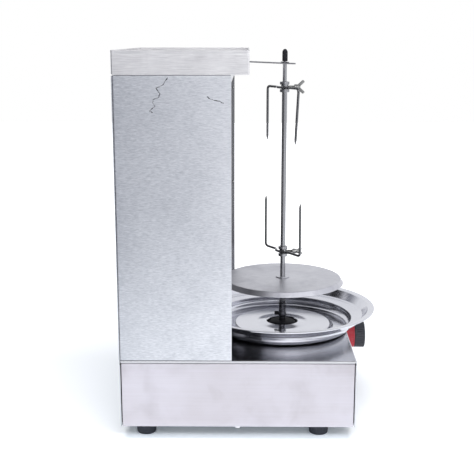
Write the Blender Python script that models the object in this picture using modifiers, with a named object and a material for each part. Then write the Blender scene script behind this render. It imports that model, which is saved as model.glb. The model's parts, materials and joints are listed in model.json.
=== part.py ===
"""Vertical rotisserie broiler: a small counter-top grill with a stainless base, a heater column,
a turning spit with two forks and a meat plate, and a drip pan.

+X is the front (control knob), -X the back (cable gland), +Z up. The origin is on the floor, at the
centre of the object's box. Every piece is one named object, and every hinge or slide has its piece's
origin on its axis.
"""

import math

import bmesh
import bpy
from mathutils import Matrix, Vector

# Gaps and sheet thicknesses
GAP = 0.0003
SHEET = 0.0012
THIN_SHEET = 0.0008

# Base box
BASE_LENGTH = 0.350
BASE_DEPTH = 0.350
BASE_HEIGHT = 0.104
FOOT_HEIGHT = 0.022
FOOT_RADIUS = 0.0158
FOOT_INSET = 0.035

# Column over the back of the base
COLUMN_LENGTH = 0.166
COLUMN_HEIGHT = 0.413
TRAY_LENGTH = 0.191
TRAY_HEIGHT = 0.0335
TRAY_BOTTOM = 0.4142

# Spit, plate and pan, measured from the base's back and from its top
SPIT_FROM_BACK = 0.2465
GLAND_REACH = 0.012
PAN_RADIUS = 0.150
PLATE_RADIUS = 0.0990
PLATE_TOP = 0.0823
ROD_RADIUS = 0.0041
NECK_RADIUS = 0.0032
SOCKET_TOP = 0.039
UPPER_COLLAR = (0.3809, 0.3974)
LOWER_COLLAR = (0.1175, 0.1338)
COLLAR_RADIUS = 0.0075
ARM_END = 0.2633
CAP_BOTTOM = 0.4285
CAP_TOP = 0.4475

# Control knob on the front face
KNOB_Y = 0.045
KNOB_DROP = 0.030
KNOB_RADIUS = 0.022
ROCKER_Y = -0.075
ROCKER_DROP = 0.060

# Places worked out from the sizes above
TOTAL_LENGTH = GLAND_REACH + SPIT_FROM_BACK + PAN_RADIUS
BACK_X = GLAND_REACH - TOTAL_LENGTH / 2
FRONT_X = BACK_X + BASE_LENGTH
SPIT_X = BACK_X + SPIT_FROM_BACK
HALF_DEPTH = BASE_DEPTH / 2
TOP_Z = FOOT_HEIGHT + BASE_HEIGHT
COLUMN_TOP = TOP_Z + COLUMN_HEIGHT
PLATE_Z = FOOT_HEIGHT + 0.0015
INNER_Y = HALF_DEPTH - SHEET

# Finishes: colour, roughness, metallic
FINISHES = {
    "brushed_panel": ((0.62, 0.63, 0.66), 0.32, 1.0),
    "polished_steel": ((0.72, 0.72, 0.74), 0.10, 1.0),
    "plate_steel": ((0.55, 0.55, 0.57), 0.40, 1.0),
    "rod_steel": ((0.48, 0.48, 0.49), 0.25, 1.0),
    "zinc_steel": ((0.60, 0.60, 0.58), 0.38, 1.0),
    "black_plastic": ((0.02, 0.02, 0.025), 0.42, 0.0),
    "red_plastic": ((0.42, 0.03, 0.05), 0.40, 0.0),
    "foot_rubber": ((0.025, 0.025, 0.025), 0.75, 0.0),
    "heater_sheath": ((0.16, 0.15, 0.14), 0.50, 1.0),
    "ceramic": ((0.82, 0.80, 0.74), 0.60, 0.0),
    "motor_casting": ((0.36, 0.37, 0.38), 0.50, 1.0),
    "nylon": ((0.75, 0.74, 0.68), 0.50, 0.0),
}


def clear_scene():
    for obj in list(bpy.data.objects):
        bpy.data.objects.remove(obj, do_unlink=True)


def make_collection(name):
    collection = bpy.data.collections.new(name)
    bpy.context.scene.collection.children.link(collection)
    return collection


def make_material(name):
    colour, roughness, metallic = FINISHES[name]
    material = bpy.data.materials.new(name)
    material.use_nodes = True
    shader = material.node_tree.nodes["Principled BSDF"]
    shader.inputs["Base Color"].default_value = (*colour, 1.0)
    shader.inputs["Roughness"].default_value = roughness
    shader.inputs["Metallic"].default_value = metallic
    material.diffuse_color = (*colour, 1.0)
    return material


clear_scene()
PARTS = make_collection("vertical_rotisserie_broiler")
CUTTERS = make_collection("cutters")
MATERIALS = {finish: make_material(finish) for finish in FINISHES}


def add_object(name, data, finish, location=(0.0, 0.0, 0.0)):
    """Links a new object with its finish; no finish means a cutter."""
    obj = bpy.data.objects.new(name, data)
    obj.location = location
    if finish is None:
        CUTTERS.objects.link(obj)
        obj.hide_render = True
        obj.display_type = "WIRE"
    else:
        data.materials.append(MATERIALS[finish])
        PARTS.objects.link(obj)
    return obj


def mesh_from(name, working):
    mesh = bpy.data.meshes.new(name)
    working.to_mesh(mesh)
    working.free()
    return mesh


def add_box(name, low, high, finish, open_side=None):
    """A box between two corners; open_side is the outward normal of a side to leave out."""
    low, high = Vector(low), Vector(high)
    size, middle = high - low, (low + high) / 2
    working = bmesh.new()
    bmesh.ops.create_cube(working, size=1.0)
    bmesh.ops.scale(working, vec=size, verts=working.verts)
    if open_side is not None:
        working.normal_update()
        gone = [face for face in working.faces if face.normal.dot(Vector(open_side)) > 0.9]
        bmesh.ops.delete(working, geom=gone, context="FACES_ONLY")
    return add_object(name, mesh_from(name, working), finish, middle)


def solidify(obj, thickness, offset):
    shell = obj.modifiers.new("sheet", "SOLIDIFY")
    shell.thickness = thickness
    shell.offset = offset
    shell.use_even_offset = True


def bevel(obj, width, segments=2):
    edge = obj.modifiers.new("edges", "BEVEL")
    edge.width = width
    edge.segments = segments
    edge.limit_method = "ANGLE"


def boolean(obj, tool, operation="DIFFERENCE"):
    step = obj.modifiers.new(tool.name, "BOOLEAN")
    step.object = tool
    step.operation = operation
    step.solver = "EXACT"


def turn(name, profile, finish, location, axis="Z", steps=32, closed=False):
    """Turns a profile of (radius, height) points about its axis: top to bottom on the outer side."""
    working = bmesh.new()
    points = [working.verts.new((radius, 0.0, height)) for radius, height in profile]
    pairs = list(zip(points, points[1:]))
    if closed:
        pairs.append((points[-1], points[0]))
    for pair in pairs:
        working.edges.new(pair)
    obj = add_object(name, mesh_from(name, working), finish, location)
    if axis == "X":
        obj.rotation_euler = (0.0, math.pi / 2, 0.0)
    if axis == "-X":
        obj.rotation_euler = (0.0, -math.pi / 2, 0.0)
    if axis == "Y":
        obj.rotation_euler = (-math.pi / 2, 0.0, 0.0)
    if axis == "-Y":
        obj.rotation_euler = (math.pi / 2, 0.0, 0.0)
    screw = obj.modifiers.new("turned", "SCREW")
    screw.steps = steps
    screw.render_steps = steps
    screw.use_merge_vertices = True
    screw.merge_threshold = 0.00001
    screw.use_smooth_shade = True
    return obj


def disc_cutter(name, location, radius, length, axis="Z", steps=24):
    """A cylinder cutter centred on its location."""
    half = length / 2
    profile = [(0.0, half), (radius, half), (radius, -half), (0.0, -half)]
    return turn(name, profile, None, location, axis, steps)


def box_cutter(name, low, high):
    return add_box(name, low, high, None)


def folded_sheet(name, outline, direction, length, thickness, finish, offset):
    """A sheet folded along an open outline and drawn out along a direction."""
    working = bmesh.new()
    points = [working.verts.new(point) for point in outline]
    edges = [working.edges.new(pair) for pair in zip(points, points[1:])]
    drawn = bmesh.ops.extrude_edge_only(working, edges=edges)
    moved = [item for item in drawn["geom"] if isinstance(item, bmesh.types.BMVert)]
    bmesh.ops.translate(working, vec=Vector(direction) * length, verts=moved)
    obj = add_object(name, mesh_from(name, working), finish)
    solidify(obj, thickness, offset)
    return obj


def flat_outline(name, loops, thickness, finish, location=(0.0, 0.0, 0.0)):
    """A flat plate in the XY plane from closed loops of (x, y) points; inner loops are holes."""
    curve = bpy.data.curves.new(name, "CURVE")
    curve.dimensions = "2D"
    curve.fill_mode = "BOTH"
    curve.extrude = thickness / 2
    for loop in loops:
        spline = curve.splines.new("POLY")
        spline.points.add(len(loop) - 1)
        for point, (x, y) in zip(spline.points, loop):
            point.co = (x, y, 0.0, 1.0)
        spline.use_cyclic_u = True
    return add_object(name, curve, finish, location)


def bent_wire(name, points, radius, finish, location=(0.0, 0.0, 0.0), pointed=False):
    """A round wire along a list of points, with an optional sharpened last point."""
    curve = bpy.data.curves.new(name, "CURVE")
    curve.dimensions = "3D"
    curve.bevel_depth = radius
    curve.bevel_resolution = 2
    curve.use_fill_caps = True
    spline = curve.splines.new("POLY")
    spline.points.add(len(points) - 1)
    for point, place in zip(spline.points, points):
        point.co = (*place, 1.0)
    if pointed:
        spline.points[-1].radius = 0.12
    return add_object(name, curve, finish, location)


def arc(centre, radius, start, stop, count):
    """Points (a, b) on an arc, angles in degrees."""
    for index in range(count + 1):
        angle = math.radians(start + (stop - start) * index / count)
        yield centre[0] + radius * math.cos(angle), centre[1] + radius * math.sin(angle)


def as_mesh(curve_object):
    """Makes a mesh object of a curve, welded closed, so that a Boolean can use it."""
    bpy.context.view_layer.update()
    graph = bpy.context.evaluated_depsgraph_get()
    mesh = bpy.data.meshes.new_from_object(curve_object.evaluated_get(graph))
    working = bmesh.new()
    working.from_mesh(mesh)
    bmesh.ops.remove_doubles(working, verts=working.verts, dist=0.00001)
    working.to_mesh(mesh)
    working.free()
    name, place = curve_object.name, curve_object.matrix_world.copy()
    cutter = curve_object.hide_render
    bpy.data.objects.remove(curve_object, do_unlink=True)
    obj = bpy.data.objects.new(name, mesh)
    obj.matrix_world = place
    (CUTTERS if cutter else PARTS).objects.link(obj)
    if cutter:
        obj.hide_render = True
        obj.display_type = "WIRE"
    return obj


# ---------------------------------------------------------------- base

SIDE_BORDER = 0.0015
TOP_BAND = 0.0036
FLANGE = 0.012


def base_shell():
    """Top, front and back of the base folded from one sheet, with a narrow lip over each side."""
    low = (BACK_X, -HALF_DEPTH, FOOT_HEIGHT)
    high = (FRONT_X, HALF_DEPTH, TOP_Z)
    shell = add_box("base_shell", low, high, "polished_steel", open_side=(0, 0, -1))
    solidify(shell, SHEET, -1.0)
    edge = BASE_DEPTH / 2 + 0.01
    side = box_cutter(
        "side_openings",
        (BACK_X + SIDE_BORDER, -edge, FOOT_HEIGHT - 0.01),
        (FRONT_X - SIDE_BORDER, edge, TOP_Z - TOP_BAND),
    )
    boolean(shell, side)
    holes = [
        disc_cutter("drive_hole", (SPIT_X, 0, TOP_Z), 0.008, 0.01),
        disc_cutter("wiring_hole", (BACK_X + 0.032, 0, TOP_Z), 0.012, 0.01),
        disc_cutter("knob_hole", (FRONT_X, KNOB_Y, TOP_Z - KNOB_DROP), 0.005, 0.01, "X"),
        disc_cutter("gland_hole", (BACK_X, 0, FOOT_HEIGHT + 0.030), 0.0082, 0.01, "X"),
        box_cutter(
            "rocker_hole",
            (FRONT_X - 0.01, ROCKER_Y - 0.0070, TOP_Z - ROCKER_DROP - 0.0102),
            (FRONT_X + 0.01, ROCKER_Y + 0.0070, TOP_Z - ROCKER_DROP + 0.0102),
        ),
    ]
    for hole in holes:
        boolean(shell, hole)


def side_panel(name, side):
    """A shallow pressed panel that closes one side of the base, flanges inward."""
    start = BACK_X + SIDE_BORDER + GAP
    stop = FRONT_X - SIDE_BORDER - GAP
    outer, inner = side * HALF_DEPTH, side * (HALF_DEPTH - FLANGE)
    low = (start, min(outer, inner), FOOT_HEIGHT)
    high = (stop, max(outer, inner), TOP_Z - TOP_BAND - GAP)
    panel = add_box(name, low, high, "brushed_panel", open_side=(0, -side, 0))
    solidify(panel, SHEET, -1.0)


def bottom_plate():
    """Bottom plate with two rows of cooling slots."""
    reach = HALF_DEPTH - FLANGE - GAP
    low = (BACK_X + SHEET + GAP, -reach, PLATE_Z)
    high = (FRONT_X - SHEET - GAP, reach, PLATE_Z + SHEET)
    plate = add_box("bottom_plate", low, high, "zinc_steel")
    slot_width, slot_half, slot_pitch, depth = 0.005, 0.025, 0.016, 0.005
    for row, y in enumerate((-0.055, 0.055)):
        for column in range(5):
            x = BACK_X + 0.215 + slot_pitch * column
            low = (x, y - slot_half, PLATE_Z - depth)
            high = (x + slot_width, y + slot_half, PLATE_Z + depth)
            boolean(plate, box_cutter(f"slot_{row}_{column}", low, high))


def feet():
    """Four turned rubber feet under the bottom plate."""
    height = PLATE_Z - GAP
    profile = [
        (0.0, height),
        (FOOT_RADIUS - 0.0010, height),
        (FOOT_RADIUS, height - 0.0010),
        (FOOT_RADIUS - 0.0012, 0.0015),
        (FOOT_RADIUS - 0.0024, 0.0),
        (0.0, 0.0),
    ]
    near_far = (("near", -1), ("far", 1))
    for end, x in (("rear", BACK_X + FOOT_INSET), ("front", FRONT_X - FOOT_INSET - 0.017)):
        for side, sign in near_far:
            place = (x, sign * (HALF_DEPTH - FOOT_INSET), 0.0)
            turn(f"foot_{end}_{side}", profile, "foot_rubber", place, steps=28)


def seal_flange():
    """Black collar on the base top that keeps fat away from the drive."""
    profile = [
        (0.0058, 0.0095),
        (0.0110, 0.0095),
        (0.0180, 0.0086),
        (0.0222, 0.0066),
        (0.0232, 0.0042),
        (0.0232, GAP),
        (0.0058, GAP),
    ]
    turn("seal_flange", profile, "black_plastic", (SPIT_X, 0, TOP_Z), steps=36, closed=True)


GEARBOX_TOP = 0.112
GEARBOX_BOTTOM = 0.086


def drive_unit():
    """Gearbox, motor can and the hat-shaped bracket that hangs them from the base top."""
    gearbox = add_box(
        "gearbox",
        (SPIT_X - 0.030, -0.026, GEARBOX_BOTTOM),
        (SPIT_X + 0.030, 0.026, GEARBOX_TOP),
        "motor_casting",
    )
    bevel(gearbox, 0.003)
    can_height = 0.036
    profile = [
        (0.0, can_height),
        (0.0225, can_height),
        (0.0240, can_height - 0.0015),
        (0.0240, 0.0015),
        (0.0225, 0.0),
        (0.0, 0.0),
    ]
    place = (SPIT_X - 0.004, 0, GEARBOX_BOTTOM - GAP - can_height)
    turn("motor_can", profile, "zinc_steel", place, steps=32)

    top = TOP_Z - SHEET - GAP
    foot, wall = 0.056, 0.038
    seat = GEARBOX_TOP + GAP
    outline = [
        (SPIT_X - foot, -0.020, top),
        (SPIT_X - wall, -0.020, top),
        (SPIT_X - wall, -0.020, seat),
        (SPIT_X + wall, -0.020, seat),
        (SPIT_X + wall, -0.020, top),
        (SPIT_X + foot, -0.020, top),
    ]
    # The sheet lies on the inner side of its outline at the seat, and below it at the feet.
    lifted = [(x, y, z - 0.0015 if z == top else z + 0.0015) for x, y, z in outline]
    bracket = folded_sheet("motor_bracket", lifted, (0, 1, 0), 0.040, 0.0015, "zinc_steel", 0.0)
    boolean(bracket, disc_cutter("bracket_hole", (SPIT_X, 0, seat), 0.008, 0.02))


def electrics():
    """Cable gland in the back, terminal block, control switch and rocker switch."""
    gland_z = FOOT_HEIGHT + 0.030
    profile = [
        (0.0035, GLAND_REACH),
        (0.0070, GLAND_REACH),
        (0.0085, GLAND_REACH - 0.0020),
        (0.0100, 0.0050),
        (0.0110, 0.0045),
        (0.0110, GAP),
        (0.0078, GAP),
        (0.0078, -0.0100),
        (0.0035, -0.0100),
    ]
    turn("cable_gland", profile, "black_plastic", (BACK_X, 0, gland_z), "-X", 28, closed=True)

    block = add_box(
        "terminal_block",
        (BACK_X + 0.050, -0.045, PLATE_Z + SHEET + GAP),
        (BACK_X + 0.066, 0.005, PLATE_Z + 0.020),
        "nylon",
    )
    way_pitch, way_half = 0.017, 0.004
    for way in range(3):
        y = -0.037 + way_pitch * way
        low = (BACK_X + 0.049, y - way_half, PLATE_Z + 0.0125)
        high = (BACK_X + 0.067, y + way_half, PLATE_Z + 0.0265)
        boolean(block, box_cutter(f"way_{way}", low, high))

    knob_z = TOP_Z - KNOB_DROP
    switch = add_box(
        "control_switch",
        (FRONT_X - 0.036, KNOB_Y - 0.019, knob_z - 0.019),
        (FRONT_X - SHEET - GAP, KNOB_Y + 0.019, knob_z + 0.019),
        "nylon",
    )
    boolean(switch, disc_cutter("switch_bore", (FRONT_X, KNOB_Y, knob_z), 0.0036, 0.040, "X"))


def control_knob():
    """Black grip and red dial drum on a steel shaft that turns in the switch."""
    place = (FRONT_X, KNOB_Y, TOP_Z - KNOB_DROP)
    shaft = [(0.0, 0.0330), (0.0030, 0.0330), (0.0030, -0.0190), (0.0, -0.0190)]
    turn("knob_shaft", shaft, "zinc_steel", place, "X", 20)
    drum = [
        (0.0033, 0.0203),
        (KNOB_RADIUS - 0.0008, 0.0203),
        (KNOB_RADIUS, 0.0195),
        (KNOB_RADIUS, 0.0026),
        (KNOB_RADIUS - 0.0006, 0.0020),
        (0.0033, 0.0020),
    ]
    turn("dial_drum", drum, "red_plastic", place, "X", 44, closed=True)
    grip_end = 0.0378
    grip = [
        (0.0, grip_end),
        (KNOB_RADIUS - 0.0020, grip_end),
        (KNOB_RADIUS - 0.0004, grip_end - 0.0016),
        (KNOB_RADIUS, 0.0206),
        (0.0033, 0.0206),
        (0.0033, 0.0333),
        (0.0, 0.0333),
    ]
    turn("control_knob", grip, "black_plastic", place, "X", 44)


ROCKER_TILT = 9.0


def rocker_switch():
    """Bezel with a body through the front face, and the rocker button that tips in it."""
    centre = (FRONT_X, ROCKER_Y, TOP_Z - ROCKER_DROP)
    x, y, z = centre

    def block(name, back, front, half_width, half_height, finish=None):
        low = (x + back, y - half_width, z - half_height)
        high = (x + front, y + half_width, z + half_height)
        return add_box(name, low, high, finish)

    bezel = block("rocker_bezel", GAP, 0.0020, 0.0090, 0.0125, "black_plastic")
    boolean(bezel, block("rocker_body", -0.0180, 0.0010, 0.0066, 0.0098), "UNION")
    boolean(bezel, block("rocker_pocket", -0.0060, 0.0100, 0.0054, 0.0086))

    corner, swing = 28.0, 0.0080
    outline = [(0.0024, 0.0)]
    outline += list(arc((0.0, 0.0), swing, 90 - corner, 90 + corner / 2, 4))
    outline += list(arc((0.0, 0.0), swing, 270 - corner / 2, 270 + corner, 4))
    button = flat_outline("rocker_button", [outline], 0.0100, "red_plastic")
    upright = Matrix.Rotation(math.pi / 2, 4, "X")
    tilt = Matrix.Rotation(math.radians(ROCKER_TILT), 4, "Y")
    button.matrix_world = Matrix.Translation(centre) @ tilt @ upright


# ---------------------------------------------------------------- column


def column_panel(name, side):
    """One side of the column, with a flange behind the back panel."""
    face = side * (HALF_DEPTH - SHEET / 2)
    outline = [
        (BACK_X + COLUMN_LENGTH, face, TOP_Z + GAP),
        (BACK_X + SHEET * 1.5 + GAP, face, TOP_Z + GAP),
        (BACK_X + SHEET * 1.5 + GAP, side * (HALF_DEPTH - FLANGE), TOP_Z + GAP),
    ]
    folded_sheet(name, outline, (0, 0, 1), COLUMN_HEIGHT - GAP, SHEET, "brushed_panel", 0.0)


def column_back():
    """Back panel of the column with a block of cooling slots."""
    low = (BACK_X, -HALF_DEPTH, TOP_Z + GAP)
    high = (BACK_X + SHEET, HALF_DEPTH, COLUMN_TOP)
    panel = add_box("column_back", low, high, "brushed_panel")
    slot_pitch, slot_height, slot_half = 0.014, 0.005, 0.045
    for row in range(6):
        z = TOP_Z + 0.285 + slot_pitch * row
        low = (BACK_X - 0.005, -slot_half, z)
        high = (BACK_X + 0.005, slot_half, z + slot_height)
        boolean(panel, box_cutter(f"louvre_{row}", low, high))
    head = [(0.0, 0.0020), (0.0022, 0.0018), (0.0035, 0.0004), (0.0035, 0.0), (0.0, 0.0)]
    for side, y in (("near", -0.167), ("far", 0.167)):
        turn(f"back_screw_{side}", head, "zinc_steel", (BACK_X - GAP, y, COLUMN_TOP - 0.025), "-X", 16)


def column_cap():
    """Top of the column, a shallow lid with its flanges down, which carries the tray."""
    low = (BACK_X + 2 * SHEET + 2 * GAP, -INNER_Y + GAP, COLUMN_TOP - FLANGE)
    high = (BACK_X + COLUMN_LENGTH - 0.001, INNER_Y - GAP, TOP_Z + TRAY_BOTTOM - GAP)
    cap = add_box("column_cap", low, high, "polished_steel", open_side=(0, 0, -1))
    solidify(cap, SHEET, -1.0)


REFLECTOR_BACK = BACK_X + 0.060
WING_FRONT = BACK_X + 0.159
HEATER_X = BACK_X + 0.080
SHELF_Z = TOP_Z + 0.042


def reflector():
    """Folded reflector: a back, two angled wings and two flanges on the column sides."""
    side = INNER_Y - GAP - THIN_SHEET / 2
    bottom = SHELF_Z + 0.0015
    half = [(BACK_X + 0.1658, side), (WING_FRONT, side), (REFLECTOR_BACK, 0.095)]
    outline = [(x, y, bottom) for x, y in half] + [(x, -y, bottom) for x, y in reversed(half)]
    height = COLUMN_TOP - FLANGE - 0.002 - bottom
    folded_sheet("reflector", outline, (0, 0, 1), height, THIN_SHEET, "polished_steel", 0.0)
    head = [(0.0, 0.0011), (0.0012, 0.0010), (0.0021, 0.0003), (0.0021, 0.0), (0.0, 0.0)]
    face = INNER_Y - 2 * GAP - THIN_SHEET
    for level, z in (("low", TOP_Z + 0.2133), ("high", TOP_Z + 0.3795)):
        for side_name, sign, axis in (("near", -1, "Y"), ("far", 1, "-Y")):
            place = (BACK_X + 0.1630, sign * face, z)
            turn(f"rivet_{level}_{side_name}", head, "zinc_steel", place, axis, 12)


def heaters():
    """Two hairpin heating elements on a bent shelf, each with two bushes and a hook."""
    shelf_y = INNER_Y - 0.0012
    outline = [
        (BACK_X + 0.0935, -shelf_y, TOP_Z + GAP),
        (BACK_X + 0.0935, -shelf_y, SHELF_Z),
        (REFLECTOR_BACK + 0.0015, -shelf_y, SHELF_Z),
    ]
    depth = 2 * shelf_y
    shelf = folded_sheet("heater_shelf", outline, (0, 1, 0), depth, 0.001, "brushed_panel", 0.0)
    leg_gap = 0.020
    tube = 0.00325
    bend_z = TOP_Z + 0.365
    bush = [
        (0.0036, 0.0120),
        (0.0058, 0.0120),
        (0.0066, 0.0112),
        (0.0066, 0.0),
        (0.0036, 0.0),
    ]
    for side, centre in (("near", -0.050), ("far", 0.050)):
        bend = [(HEATER_X, y, z) for y, z in arc((centre, bend_z), leg_gap, 180, 0, 12)]
        foot_z = TOP_Z + 0.028
        points = [(HEATER_X, centre - leg_gap, foot_z), *bend, (HEATER_X, centre + leg_gap, foot_z)]
        bent_wire(f"heater_{side}", points, tube, "heater_sheath")
        for number, leg in enumerate((-leg_gap, leg_gap), start=1):
            y = centre + leg
            boolean(shelf, disc_cutter(f"leg_hole_{side}_{number}", (HEATER_X, y, SHELF_Z), 0.0042, 0.01))
            place = (HEATER_X, y, SHELF_Z + 0.0008)
            turn(f"heater_bush_{side}_{number}", bush, "ceramic", place, steps=20, closed=True)
        hook_z = bend_z + leg_gap - tube - 0.0010
        start = REFLECTOR_BACK + THIN_SHEET / 2 + GAP
        hook = [
            (start + 0.0005, centre - 0.004, hook_z - 0.012),
            (start + 0.0005, centre - 0.004, hook_z),
            (HEATER_X + 0.0060, centre - 0.004, hook_z),
            (HEATER_X + 0.0060, centre - 0.004, hook_z + 0.006),
        ]
        folded_sheet(f"heater_hook_{side}", hook, (0, 1, 0), 0.008, 0.001, "zinc_steel", 0.0)


ARM_THICKNESS = 0.0020
ARM_WIDTH = 0.020
ARM_HEIGHT = TOP_Z + 0.4255
ARM_SLOPE = 2.4


def top_tray():
    """Open tray on top of the column, with a slot in its front wall for the arm."""
    bottom = TOP_Z + TRAY_BOTTOM
    low = (BACK_X, -HALF_DEPTH, bottom)
    high = (BACK_X + TRAY_LENGTH, HALF_DEPTH, bottom + TRAY_HEIGHT)
    tray = add_box("top_tray", low, high, "brushed_panel", open_side=(0, 0, 1))
    solidify(tray, 0.001, -1.0)
    rise = (SPIT_FROM_BACK - TRAY_LENGTH) * math.tan(math.radians(ARM_SLOPE))
    middle = ARM_HEIGHT + rise
    slot = box_cutter(
        "arm_slot",
        (BACK_X + TRAY_LENGTH - 0.003, -ARM_WIDTH / 2 - 0.0005, middle - 0.0015),
        (BACK_X + TRAY_LENGTH + 0.003, ARM_WIDTH / 2 + 0.0005, middle + 0.0015),
    )
    boolean(tray, slot)


def arm():
    """Flat arm that leans out of the tray and guides the spit's neck, its bracket and its bush."""
    start, end = -(SPIT_FROM_BACK - 0.1665), ARM_END - SPIT_FROM_BACK
    half = ARM_WIDTH / 2
    round_centre = end - half
    outline = [(start, -half), *arc((round_centre, 0.0), half, -90, 90, 10), (start, half)]
    hole = list(arc((0.0, 0.0), 0.0047, 0, 345, 23))
    bar = flat_outline("arm_bar", [outline, hole], ARM_THICKNESS, "brushed_panel")
    bar.location = (SPIT_X, 0, ARM_HEIGHT)
    bar.rotation_euler = (0, math.radians(ARM_SLOPE), 0)

    slope = math.tan(math.radians(ARM_SLOPE))
    wall = BACK_X + TRAY_LENGTH - 0.001 - GAP
    tail = BACK_X + 0.1680

    def under_bar(x):
        return ARM_HEIGHT + (SPIT_X - x) * slope - ARM_THICKNESS / 2 - GAP - 0.0012

    width, above_floor = 0.016, 0.0045
    outline = [
        (tail, -width / 2, under_bar(tail)),
        (wall - 0.001, -width / 2, under_bar(wall)),
        (wall - 0.001, -width / 2, TOP_Z + TRAY_BOTTOM + above_floor),
    ]
    folded_sheet("arm_bracket", outline, (0, 1, 0), width, 0.0016, "zinc_steel", 0.0)

    ring = [(0.0047, 0.0011), (0.0062, 0.0011), (0.0066, 0.0007), (0.0066, 0.0), (0.0047, 0.0)]
    place = (SPIT_X, 0, ARM_HEIGHT + ARM_THICKNESS / 2 + GAP)
    bush = turn("arm_bush", ring, "nylon", place, steps=28, closed=True)
    bush.rotation_euler = (0, math.radians(ARM_SLOPE), 0)


# ---------------------------------------------------------------- drive and spit


def drive_socket():
    """Output shaft and socket in one turned piece, with a thumb screw that pinches the spit."""
    base = GEARBOX_TOP + GAP - TOP_Z
    profile = [
        (0.0, 0.0187),
        (0.0044, 0.0187),
        (0.0044, SOCKET_TOP),
        (0.0063, SOCKET_TOP),
        (0.0067, SOCKET_TOP - 0.0006),
        (0.0067, SOCKET_TOP - 0.0020),
        (0.0057, SOCKET_TOP - 0.0026),
        (0.0057, 0.0250),
        (0.0067, 0.0235),
        (0.0067, 0.0180),
        (0.0050, 0.0160),
        (0.0050, base),
        (0.0, base),
    ]
    socket = turn("drive_socket", profile, "rod_steel", (SPIT_X, 0, TOP_Z), steps=28)
    screw_z = TOP_Z + 0.0208
    boolean(socket, disc_cutter("screw_bore", (SPIT_X - 0.006, 0, screw_z), 0.0018, 0.006, "X"))
    screw = [
        (0.0, 0.0128),
        (0.0026, 0.0128),
        (0.0032, 0.0122),
        (0.0032, 0.0072),
        (0.0015, 0.0072),
        (0.0015, 0.0044),
        (0.0, 0.0044),
    ]
    turn("drive_screw", screw, "black_plastic", (SPIT_X, 0, screw_z), "-X", 20)


def spit():
    """Spit rod with its cap, meat plate and plate hub."""
    place = (SPIT_X, 0, TOP_Z)
    shoulder = UPPER_COLLAR[1] + 0.0006
    rod = [
        (0.0, CAP_BOTTOM + 0.0100),
        (0.0020, CAP_BOTTOM + 0.0100),
        (0.0020, CAP_BOTTOM - GAP),
        (NECK_RADIUS, CAP_BOTTOM - GAP),
        (NECK_RADIUS, shoulder),
        (ROD_RADIUS, shoulder - 0.0008),
        (ROD_RADIUS, 0.0440),
        (0.0050, 0.0430),
        (0.0050, SOCKET_TOP + GAP),
        (ROD_RADIUS, SOCKET_TOP + GAP),
        (ROD_RADIUS, 0.0205),
        (0.0030, 0.0192),
        (0.0, 0.0192),
    ]
    turn("spit_rod", rod, "rod_steel", place, steps=28)
    cap = [
        (0.0, CAP_TOP),
        (0.0018, CAP_TOP - 0.0004),
        (0.0033, CAP_TOP - 0.0016),
        (0.0042, CAP_TOP - 0.0040),
        (0.0042, CAP_BOTTOM),
        (0.0023, CAP_BOTTOM),
        (0.0023, CAP_BOTTOM + 0.0103),
        (0.0, CAP_BOTTOM + 0.0103),
    ]
    turn("spit_cap", cap, "black_plastic", place, steps=28)
    hub_radius = 0.0085
    lip, flare = 0.0082, 0.0048
    plate = [
        (hub_radius + GAP, PLATE_TOP),
        (PLATE_RADIUS - flare - 0.0004, PLATE_TOP),
        (PLATE_RADIUS - flare + 0.0004, PLATE_TOP - 0.0006),
        (PLATE_RADIUS, PLATE_TOP - lip + 0.0008),
        (PLATE_RADIUS - 0.0010, PLATE_TOP - lip),
        (PLATE_RADIUS - flare - 0.0010, PLATE_TOP - 0.0015),
        (hub_radius + GAP, PLATE_TOP - 0.0015),
    ]
    turn("meat_plate", plate, "plate_steel", place, steps=64, closed=True)
    hub = [
        (ROD_RADIUS + GAP, PLATE_TOP + 0.0016),
        (0.0100, PLATE_TOP + 0.0016),
        (0.0110, PLATE_TOP + 0.0010),
        (0.0110, PLATE_TOP + GAP),
        (hub_radius, PLATE_TOP + GAP),
        (hub_radius, PLATE_TOP - 0.0140),
        (ROD_RADIUS + GAP, PLATE_TOP - 0.0140),
    ]
    turn("plate_hub", hub, "plate_steel", place, steps=28, closed=True)


WIRE_RADIUS = 0.0020
FORK_REACH = 0.048
WAIST_RADIUS = 0.0056
WAIST_HALF = 0.0036
WIRE_FROM = 0.0002
WIRE_CLEAR = 0.0065
WIRE_SPREAD = 0.0190
PRONG_BEND = 0.0060
POINT_STARTS = 0.88


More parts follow.
